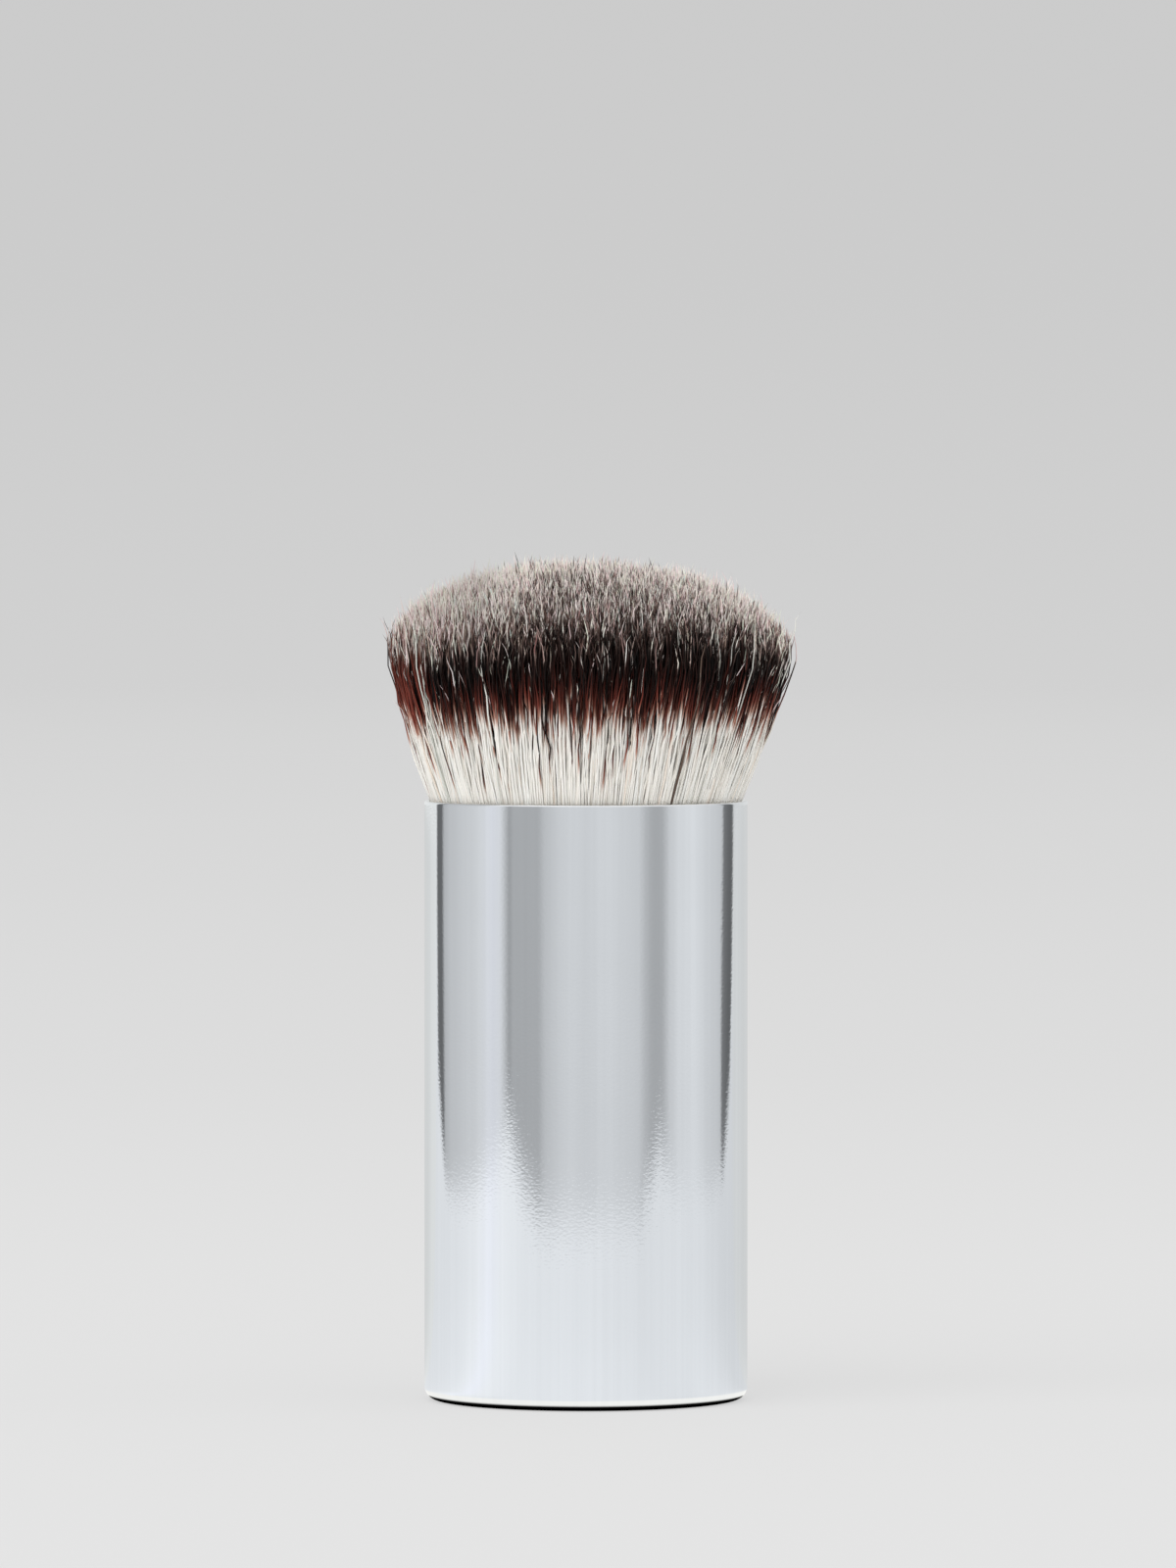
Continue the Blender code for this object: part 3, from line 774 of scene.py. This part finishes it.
def grow_hairs():
    """Everything that sets each hair apart, drawn once for the whole head."""
    chance = np.random.default_rng(SEED)
    roots = on_disc(HAIR_COUNT, chance)
    tufts = on_disc(TUFT_COUNT, chance)
    locks = on_disc(LOCK_COUNT, chance)
    tuft = nearest(roots, tufts)
    lock = nearest(roots, locks)

    def evenly(low, high):
        return chance.uniform(low, high, HAIR_COUNT)

    def mostly_small(spread, most):
        return chance.exponential(spread, HAIR_COUNT).clip(0, most)

    def lots(spread, shape=HAIR_COUNT):
        return chance.normal(0, spread, shape)

    def shared_lots(by_hair, by_tuft, by_lock):
        return lots(by_hair) + lots(by_tuft, TUFT_COUNT)[tuft] + lots(by_lock, LOCK_COUNT)[lock]

    share = np.linalg.norm(roots, axis=1)
    outward = roots / np.maximum(share, CENTRE_SHARE)[:, None]
    sideways = outward[:, ::-1] * (-1, 1)
    shoulder = smooth_share(roots[:, 0], *SHOULDER_SHARES)

    tip = dome_height(share) - DOME_TILT * roots[:, 0]
    tip += SHOULDER_RISE * shoulder * smooth_share(roots[:, 0], *SHOULDER_END_SHARES)
    tip += shared_lots(*TIP_SPREADS)
    strip = evenly(0, 1 - STRIP_WIDTH_SHARE)
    tip += between(*LIGHT_RISES, smooth_share(strip, *LIGHT_FROM))
    kind = evenly(0, 1)
    tip += (kind < LONG_SHARE) * evenly(*LONG_RISES)
    short = kind > 1 - between(SHORT_SHARE, OUTER_SHORT_SHARE, smooth_share(share, *OUTER_SHARES))
    tip -= short * mostly_small(SHORT_DROP, MOST_SHORT_DROP)
    strip = np.where(short, between(LIGHT_FROM[1], SHORT_STRIP_SHARE, strip), strip)
    undyed = np.linalg.norm(roots - LIGHT_LOCK_AT, axis=1) < LIGHT_LOCK_REACH
    undyed &= evenly(0, 1) < LIGHT_LOCK_SHARE
    strip = np.where(undyed, between(1 - UNDYED_SHARE, 1 - STRIP_WIDTH_SHARE, strip), strip)

    splay = mostly_small(SPLAY, MOST_SPLAY) * smooth_share(share, *SPLAY_SHARES)
    stray = (evenly(0, 1) < STRAY_SHARE) * (share > STRAY_FROM_SHARE)
    stray = stray * evenly(*STRAYS)
    run = (evenly(0, 1) < LIGHT_RUN_SHARE) * mostly_small(LIGHT_RUN, MOST_LIGHT_RUN)
    top_shift, low_shift = dye_shifts(roots, share, shoulder)
    return {
        "share": share,
        "roots": roots,
        "tuft": tufts[tuft] - roots,
        "lock": locks[lock] - roots,
        "tip": np.minimum(tip, HEAD_TOP + MOST_OVER_TOP),
        "top_shift": shared_lots(*TOP_EDGE_SPREADS) - run + top_shift,
        "low_shift": shared_lots(*LOW_EDGE_SPREADS) + low_shift,
        "lean": (
            lots(LEAN_SPREAD, (HAIR_COUNT, 2)) + outward * stray[:, None]
            + sideways * lots(SIDE_LEAN_SPREAD)[:, None]
        ),
        "sway": lots(SWAY_SPREAD, (HAIR_COUNT, 2)) + sideways * lots(SIDE_SWAY_SPREAD)[:, None],
        "kink": lots(KINK_SPREAD, (HAIR_COUNT, len(OUTER_RING_SHARES) + 1, 2)),
        "flick": (
            lots(FLICK_SPREAD, (HAIR_COUNT, 2)).clip(-MOST_FLICK, MOST_FLICK) + outward * splay[:, None]
        ),
        "strip": strip,
        "radius": HAIR_RADIUS * evenly(*RADIUS_SHARES),
        "turn": evenly(0, math.tau),
    }


# Hair meshes

HAIR_SIDES = 3
ROOT_DEPTH = 0.3 * MM
TIP_RADIUS_SHARE = 0.30
TAPER_LENGTH = 2.6 * MM
TAPER_POWER = 0.7
# A hair is this much thicker at the root, from half this distance to one and a half of it below the tip
ROOT_SWELL = 1.62
SWELL_LENGTH = 8.5 * MM
SWELL_FROM_SHARE = 0.5
# Hairs past this share of the bundle's radius have the outer rings
OUTER_FROM_SHARE = 0.90
MOST_TRIANGLES = 190000
# How far a hair is drawn to the middle of its tuft and of its lock, at the widest height
TUFT_PULL_SHARE = 0.16
LOCK_PULL_SHARE = 0.12
# Pull and lean grow with this power of the height over the rim, up to this share of the widest height's
PULL_POWER = 1.5
MOST_HEIGHT_SHARE = 1.5
# Kinks set in over the first third of that height
KINK_PARTS = 3
FLICK_LENGTH = 3.0 * MM
FLICK_POWER = 2
# Distances from the tip over which the shift of the dye's top edge ends, and that of its low edge begins
TOP_SHIFT_END = (2 * MM, 6 * MM)
LOW_SHIFT_START = (3 * MM, 6 * MM)
MAP_MARGIN_SHARE = 0.002


def hair_centres(hairs, ring_shares):
    """Centre line of each hair, from the root up to the tip, as hairs x levels x 3."""
    tip = hairs["tip"][:, None]
    length = tip - RESIN_TOP + ROOT_DEPTH
    z = tip - length * np.array([*reversed(ring_shares), 0])
    height = np.clip((z - RIM_Z) / (WIDEST_Z - RIM_Z), 0, MOST_HEIGHT_SHARE)[:, :, None]
    pull = (TUFT_PULL_SHARE * hairs["tuft"] + LOCK_PULL_SHARE * hairs["lock"])[:, None]
    place = hairs["roots"][:, None] + pull * height ** PULL_POWER
    flick = np.clip(1 - (tip - z) / FLICK_LENGTH, 0, 1)[:, :, None]
    flat = place * bundle_radius(z)[:, :, None]
    flat = flat + hairs["lean"][:, None] * height ** PULL_POWER
    flat = flat + np.array([BUNDLE_LEAN, 0]) * np.clip(height, 0, 1)
    flat = flat + hairs["sway"][:, None] * np.sin(np.clip(height, 0, 1) * math.pi)
    flat = flat + hairs["kink"][:, :z.shape[1]] * np.clip(KINK_PARTS * height, 0, 1)
    flat = flat + hairs["flick"][:, None] * flick ** FLICK_POWER
    return np.concatenate([flat, z[:, :, None]], 2)


def hair_pattern(levels):
    """Corner numbers of one hair's faces, and how many corners each face has."""
    side = np.arange(HAIR_SIDES)
    after = (side + 1) % HAIR_SIDES
    wall = np.stack([side, after, after + HAIR_SIDES, side + HAIR_SIDES], 1)
    quads = np.concatenate([wall + level * HAIR_SIDES for level in range(levels - 2)])
    last = (levels - 2) * HAIR_SIDES
    point = np.full(HAIR_SIDES, (levels - 1) * HAIR_SIDES)
    tips = np.stack([side + last, after + last, point], 1)
    sizes = [4] * len(quads) + [3] * len(tips) + [HAIR_SIDES]
    return np.concatenate([quads.ravel(), tips.ravel(), side[::-1]]), np.array(sizes)


def hair_corners(hairs, centres):
    """Corners of each hair: rings of few sides round its centre line, tapered to the tip."""
    from_tip = centres[:, -1:, 2] - centres[:, :-1, 2]
    taper = between(TIP_RADIUS_SHARE, 1, np.clip(from_tip / TAPER_LENGTH, 0, 1) ** TAPER_POWER)
    swell = between(1, ROOT_SWELL, np.clip(from_tip / SWELL_LENGTH - SWELL_FROM_SHARE, 0, 1))
    radius = hairs["radius"][:, None] * taper * swell
    turns = hairs["turn"][:, None] + math.tau * np.arange(HAIR_SIDES) / HAIR_SIDES
    spokes = np.stack([np.cos(turns), np.sin(turns), np.zeros_like(turns)], 2)
    rings = centres[:, :-1, None] + radius[:, :, None, None] * spokes[:, None]
    return np.concatenate([rings.reshape(len(centres), -1, 3), centres[:, -1:]], 1)


def hair_mesh(name, hairs, ring_shares):
    """Tapered tubes of few sides, closed at the root and pointed at the tip."""
    centres = hair_centres(hairs, ring_shares)
    corners = hair_corners(hairs, centres)
    count, corners_each = corners.shape[:2]
    pattern, sizes = hair_pattern(centres.shape[1])
    loops = pattern[None] + np.arange(count)[:, None] * corners_each
    totals = np.tile(sizes, count)
    mesh = bpy.data.meshes.new(name)
    mesh.vertices.add(count * corners_each)
    mesh.vertices.foreach_set("co", corners.astype(np.float32).ravel())
    mesh.loops.add(loops.size)
    mesh.loops.foreach_set("vertex_index", loops.astype(np.int32).ravel())
    mesh.polygons.add(len(totals))
    mesh.polygons.foreach_set("loop_start", (np.cumsum(totals) - totals).astype(np.int32))
    mesh.update(calc_edges=True)
    add_hair_map(mesh, hairs, centres, pattern)
    mesh.validate()
    return mesh


def add_hair_map(mesh, hairs, centres, pattern):
    """Map with each hair on a narrow strip of its own across U, and V from its tip down."""
    down = centres[:, -1:, 2] - centres[:, :, 2]
    top_share = 1 - smooth_share(down, *TOP_SHIFT_END)
    low_share = smooth_share(down, *LOW_SHIFT_START)
    down = down + hairs["top_shift"][:, None] * top_share + hairs["low_shift"][:, None] * low_share
    v = np.concatenate([np.repeat(down[:, :-1], HAIR_SIDES, 1), down[:, -1:]], 1) / BAND_SPAN
    rings = centres.shape[1] - 1
    across = np.append(np.tile(np.arange(HAIR_SIDES) / HAIR_SIDES, rings), 0.5)
    u = hairs["strip"][:, None] + across[None] * STRIP_WIDTH_SHARE
    places = np.stack([u, np.clip(v, MAP_MARGIN_SHARE, 1 - MAP_MARGIN_SHARE)], 2)[:, pattern]
    made = mesh.uv_layers.new(name="OFBake")
    made.data.foreach_set("uv", places.astype(np.float32).ravel())


def make_hair(finish):
    """Each bristle node's share of the head, in as many pieces as keep each one light."""
    hairs = grow_hairs()
    around = np.arctan2(hairs["roots"][:, 1], hairs["roots"][:, 0]) / math.tau + 0.5
    for node, (low, high) in HAIR_PIECES.items():
        inside = (hairs["share"] >= low) & ((hairs["share"] < high) | (high == 1.0))
        ring_shares = OUTER_RING_SHARES if low >= OUTER_FROM_SHARE else INNER_RING_SHARES
        triangles_each = (len(ring_shares) * 2 - 1) * HAIR_SIDES + 1
        sectors = math.ceil(inside.sum() * triangles_each / MOST_TRIANGLES)
        sector = np.minimum((around * sectors).astype(int), sectors - 1)
        for number in range(sectors):
            picked = inside & (sector == number)
            name = f"{node.replace('bristle', 'hair')}_{'abcdefgh'[number]}"
            mesh = hair_mesh(name, {key: value[picked] for key, value in hairs.items()}, ring_shares)
            mesh.materials.append(finish)
            piece = bpy.data.objects.new(name, mesh)
            bpy.context.scene.collection.objects.link(piece)
            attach(piece, BODY)
            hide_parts(node)


# Inner pieces


def finish_inner_pieces(resin):
    """The CAD pieces inside the handle keep their shape and get their own finishes."""
    finishes = {
        "core_sleeve": white_moulding(),
        "base_weight": plated_steel(),
        "weight_cushion": black_foam(),
        "ferrule_cup": satin_aluminium(),
        "resin_plug": resin,
        "binding_thread": white_thread(),
    }
    for node, finish in finishes.items():
        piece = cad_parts[node]
        piece.data.materials.clear()
        piece.data.materials.append(finish)


# Studio

FLOOR_RADIUS = 5.0
FLOOR_SIDES = 128
# The base stands clear of the floor by a hair's breadth, so that it shows from below
FLOOR_GAP = 0.05 * MM
# Distances in metres over which the floor fades into the backdrop
FLOOR_FADE = (2.0, 4.5)
CAMERA_PLACE = (0.0002, -1.030, 0.0870)
# Degrees by which the camera looks down
CAMERA_PITCH = 1.45
CAMERA_LENS = 239.0
SENSOR_WIDTH = 36.0
# Nearest and farthest distance in metres that it sees
CAMERA_REACH = (0.05, 20.0)
# Lamps: name, strength, angle in degrees that softens it, and the direction that it shines from
LAMPS = (
    ("key", 1.28, 60, (-0.66, -0.76, 0.85)),
    ("fill", 0.46, 80, (0.9, -0.5, 0.7)),
)
# The world's even light on all that isn't a mirror
AMBIENT = (0.80, 0.80, 0.80)

# Elevation in degrees and grey tone of the far background
BACKDROP_TONES = ((-2.0, 0.690), (-0.9, 0.640), (0.2, 0.623), (1.3, 0.605), (4.0, 0.600), (90.0, 0.620))
# Distance behind the brush in metres and grey tone of the floor
FLOOR_TONES = ((-1.0, 0.790), (0.17, 0.738), (0.6, 0.697), (1.5, 0.668), (2.4, 0.653), (4.4, 0.640))
# How much of the floor that the camera sees is plain tone, and how much is lit and shaded
PLAIN_SHARE = 0.75

# Studio round the brush as the polished tube mirrors it: direction in degrees, from straight
# ahead of the tube's front and positive to the right, and the grey tone there
STUDIO_TONES = (
    (-134.7, 0.83), (-132.7, 0.14), (-125.4, 0.14), (-122, 0.49), (-114, 0.56), (-87, 0.66), (-73, 0.76),
    (-64, 0.74), (-60.5, 0.58), (-56.5, 0.36), (-53.5, 0.43), (-34.5, 0.435), (-28.5, 0.57), (-20, 0.63),
    (-10, 0.69), (0, 0.66), (14, 0.70), (26, 0.66), (38, 0.62), (44, 0.48), (50, 0.41), (56, 0.435),
    (62, 0.62), (69, 0.72), (82, 0.76), (95, 0.68), (114.3, 0.58), (116.3, 0.20), (122, 0.15), (129, 0.12),
    (131.5, 0.66), (158, 0.74),
)
# The same for what the rim's rounded edge mirrors, above the brush
RAISED_TONES = (
    (-180, 0.70), (-105, 0.42), (-86, 0.44), (-76, 0.88), (-45, 0.98), (0, 0.90), (60, 0.86), (180, 0.70),
)
# What the base mirrors under the brush, from left to right
BELOW_TONES = ((0.0, 0.86), (0.45, 0.70), (1.0, 0.48))
BELOW_REACH = 0.5
# Elevations in degrees over which the tones above and those below take over
RAISED_FROM = (8.0, 40.0)
BELOW_FROM = (-20.0, -60.0)
# Low down at the far left and right the studio's edges lean: between which shares of a turn, between which
# elevations in degrees, and by which share of a turn
EDGE_LEANS = (
    ((0.19, 0.16), (-2.0, -3.4), -2.6 / 360),
    ((0.79, 0.81), (-1.8, -2.6), 2.6 / 360),
)
# Just over the floor's edge the studio is a little darker: elevations in degrees, and tones
LOW_SHADE = (-3.4, -2.6, 0.965, 1.0)

# Direction in degrees and distance in metres at which the lit floor ends for the tube's mirror
FLOOR_EDGES = (
    (-180, 2.4), (-134.8, 1.85), (-132.6, 1.03), (-131.0, 0.66), (-127.2, 0.57), (-123.9, 0.48),
    (-118, 0.372), (-112.8, 0.349), (-96, 0.346), (-84, 0.362), (-68.6, 0.400), (-62.8, 0.432),
    (-57.2, 0.505), (-55.5, 0.50), (-50.2, 0.425), (-44.3, 0.375), (-34.8, 0.323), (-24.5, 0.297),
    (34, 0.303), (39, 0.305), (41, 0.352), (47, 0.390), (53.4, 0.46), (57, 0.42), (66, 0.355),
    (100, 0.352), (114, 0.40), (121.6, 0.56), (124, 0.66), (127.5, 1.0), (131, 1.85), (134, 2.4),
)
# The edge is soft between these shares of that distance
EDGE_SHARES = (0.93, 1.07)
# Direction in degrees and brightness of the lit floor in the tube's mirror
FLOOR_GLOW = (
    (-180, 0.65), (-154, 0.68), (-140, 0.77), (-110, 0.805), (-90, 0.845), (-72, 0.93), (-42, 0.84),
    (0, 0.83), (40, 0.775), (72, 0.80), (90, 0.775), (112, 0.705), (134, 0.70), (150, 0.665), (180, 0.65),
)
# It is brighter near the brush: distances in metres, and how many times as bright
NEAR_GLOW = (0.03, 0.15, 1.035, 1.0)
# Pale ring round the base in the mirror, and the black line of painted contact shade where the base meets
# the floor
CLOSE_RING = (SHELL_RADIUS + 3.2 * MM, SHELL_RADIUS + 1.6 * MM)
CLOSE_TONE = (0.97, 0.965, 0.93)
CONTACT_SHADE_RING = (SHELL_RADIUS - 0.3 * MM, SHELL_RADIUS + 0.1 * MM)
CONTACT_SHADE_TONE = (0.0, 0.0, 0.0)
# Direction in degrees and tint of the mirrored studio: cool lamps at the sides and in front, plain behind
TINTS = (
    (-180, (0.98, 1.0, 0.995)), (-135, (0.98, 1.0, 0.995)), (-132, (0.975, 1.0, 1.025)),
    (-82, (0.975, 1.0, 1.025)), (-70, (0.965, 0.99, 1.05)), (-60, (0.975, 1.0, 1.025)),
    (126, (0.975, 1.0, 1.025)), (130, (0.98, 1.0, 1.0)),
)


class WorldPaint(Paint):
    """The same calls on the world's nodes."""

    def __init__(self):
        self.world = bpy.data.worlds.new("studio")
        self.world.use_nodes = True
        self.nodes = self.world.node_tree.nodes
        self.links = self.world.node_tree.links
        self.place = self.add("TexCoord").outputs["Generated"]


def direction_share(paint, axes):
    """Direction round the brush as a share of a turn: 0.5 is the front, and it grows to the right."""
    turn = paint.maths("ARCTAN2", axes["X"], paint.maths("MULTIPLY", axes["Y"], -1.0))
    return paint.maths("MULTIPLY_ADD", turn, 1 / math.tau, 0.5)


def round_stops(table, scale=1.0):
    """Stops of a ramp round the brush, from a table whose places are directions in degrees."""
    return [
        (degrees / 360 + 0.5, value if isinstance(value, tuple) else float(value * scale))
        for degrees, value in table
    ]


def make_world():
    """Camera rays see the backdrop, mirror rays the studio, and all else an even light."""
    paint = WorldPaint()
    axes = paint.axes(paint.place)
    around = direction_share(paint, axes)
    elevation = paint.maths("MULTIPLY", paint.maths("ARCSINE", axes["Z"]), 180 / math.pi)
    leaning = around
    for shares, elevations, lean in EDGE_LEANS:
        grown = paint.spread(elevation, *elevations, 0.0, lean)
        leaning = paint.maths("ADD", leaning, paint.maths("MULTIPLY", paint.spread(around, *shares), grown))
    tones = paint.ramp(leaning, round_stops(STUDIO_TONES))
    tinted = paint.times(tones, paint.ramp(around, round_stops(TINTS)))
    studio = paint.times(tinted, paint.spread(elevation, *LOW_SHADE))
    raised = paint.ramp(around, round_stops(RAISED_TONES))
    studio = paint.mix(paint.spread(elevation, *RAISED_FROM), studio, raised)
    below = paint.ramp(paint.spread(axes["X"], -BELOW_REACH, BELOW_REACH), BELOW_TONES)
    studio = paint.mix(paint.spread(elevation, *BELOW_FROM), studio, below)
    path = paint.add("LightPath")
    seen = paint.mix(path.outputs["Is Glossy Ray"], AMBIENT, studio)
    seen = paint.mix(path.outputs["Is Camera Ray"], seen, paint.graded(elevation, BACKDROP_TONES))
    paint.feed(paint.nodes["Background"].inputs["Color"], seen)
    bpy.context.scene.world = paint.world


def mirrored_floor(paint, around, distance):
    """Tone of the lit floor in the tube's mirror, black with painted contact shade right under the base's
    edge.
    """
    glow = paint.times(paint.ramp(around, round_stops(FLOOR_GLOW)), paint.ramp(around, round_stops(TINTS)))
    glow = paint.times(glow, paint.spread(distance, *NEAR_GLOW))
    glow = paint.mix(paint.spread(distance, *CLOSE_RING), glow, CLOSE_TONE)
    # Painted contact shade: black where the base meets the floor
    return paint.mix(paint.spread(distance, *CONTACT_SHADE_RING), CONTACT_SHADE_TONE, glow)


def cleared_floor(paint, around, distance, path):
    """Where the floor is clear: past its edge in the mirror, far off in view, and seen from below."""
    edge = paint.add("SeparateColor")
    paint.feed(edge.inputs[0], paint.ramp(around, round_stops(FLOOR_EDGES, 1 / FLOOR_RADIUS)))
    edge_distance = paint.maths("MULTIPLY", edge.outputs[0], FLOOR_RADIUS)
    beyond = paint.spread(paint.maths("DIVIDE", distance, edge_distance), *EDGE_SHARES)
    beyond = paint.maths("MULTIPLY", path.outputs["Is Glossy Ray"], beyond)
    far = paint.maths("MULTIPLY", path.outputs["Is Camera Ray"], paint.spread(distance, *FLOOR_FADE))
    clear = paint.maths("MAXIMUM", beyond, far)
    clear = paint.maths("MAXIMUM", clear, paint.add("NewGeometry").outputs["Backfacing"])
    # A ray that has come up through the floor passes it again on its way back from the brush
    been_through = paint.maths("GREATER_THAN", path.outputs["Transparent Depth"], 0.5)
    return paint.maths("MAXIMUM", clear, been_through)


def floor_finish():
    """Pale matt paper: brighter towards the camera, fading into the backdrop."""
    paint = Paint("studio_floor", roughness=1.0)
    paint.shader.inputs["Specular IOR Level"].default_value = 0.0
    axes = paint.axes(paint.place)
    around = direction_share(paint, axes)
    distance = paint.length(paint.place)
    tone = paint.graded(axes["Y"], FLOOR_TONES)
    paint.colour(tone)
    path = paint.add("LightPath")
    plain = paint.maths("MULTIPLY", path.outputs["Is Camera Ray"], PLAIN_SHARE)
    seen = paint.join(plain, paint.shader.outputs[0], paint.glow(tone))
    glow = mirrored_floor(paint, around, distance)
    seen = paint.join(path.outputs["Is Glossy Ray"], seen, paint.glow(glow))
    clear = cleared_floor(paint, around, distance, path)
    whole = paint.join(clear, seen, paint.add("BsdfTransparent").outputs[0])
    paint.feed(paint.nodes["Material Output"].inputs["Surface"], whole)
    return paint.material


def make_floor():
    deselect_all()
    bpy.ops.mesh.primitive_circle_add(
        vertices=FLOOR_SIDES, radius=FLOOR_RADIUS, fill_type="NGON", location=(0, 0, -FLOOR_GAP),
    )
    floor = bpy.context.object
    floor.name = "floor"
    floor.data.materials.append(floor_finish())


def make_lamps():
    """Broad suns that don't show in the polished metal, which mirrors the studio's own tones."""
    for name, strength, angle, towards in LAMPS:
        lamp = bpy.data.lights.new(name, "SUN")
        lamp.energy = strength
        lamp.angle = math.radians(angle)
        made = bpy.data.objects.new(name, lamp)
        bpy.context.scene.collection.objects.link(made)
        made.rotation_mode = "QUATERNION"
        made.rotation_quaternion = Vector(towards).to_track_quat("Z", "Y")
        made.visible_glossy = False


def make_camera():
    camera = bpy.data.cameras.new("camera")
    camera.lens = CAMERA_LENS
    camera.sensor_width = SENSOR_WIDTH
    camera.clip_start, camera.clip_end = CAMERA_REACH
    made = bpy.data.objects.new("camera", camera)
    bpy.context.scene.collection.objects.link(made)
    made.location = CAMERA_PLACE
    made.rotation_euler = (math.radians(90 - CAMERA_PITCH), 0, 0)
    bpy.context.scene.camera = made


def make_scene():
    resin = amber_resin()
    finish_inner_pieces(resin)
    make_handle_shell(polished_aluminium())
    make_resin_bed(resin)
    make_hair(bristle_fibre())
    make_world()
    make_floor()
    make_lamps()
    make_camera()
    bpy.context.scene.view_settings.view_transform = "Standard"


make_scene()
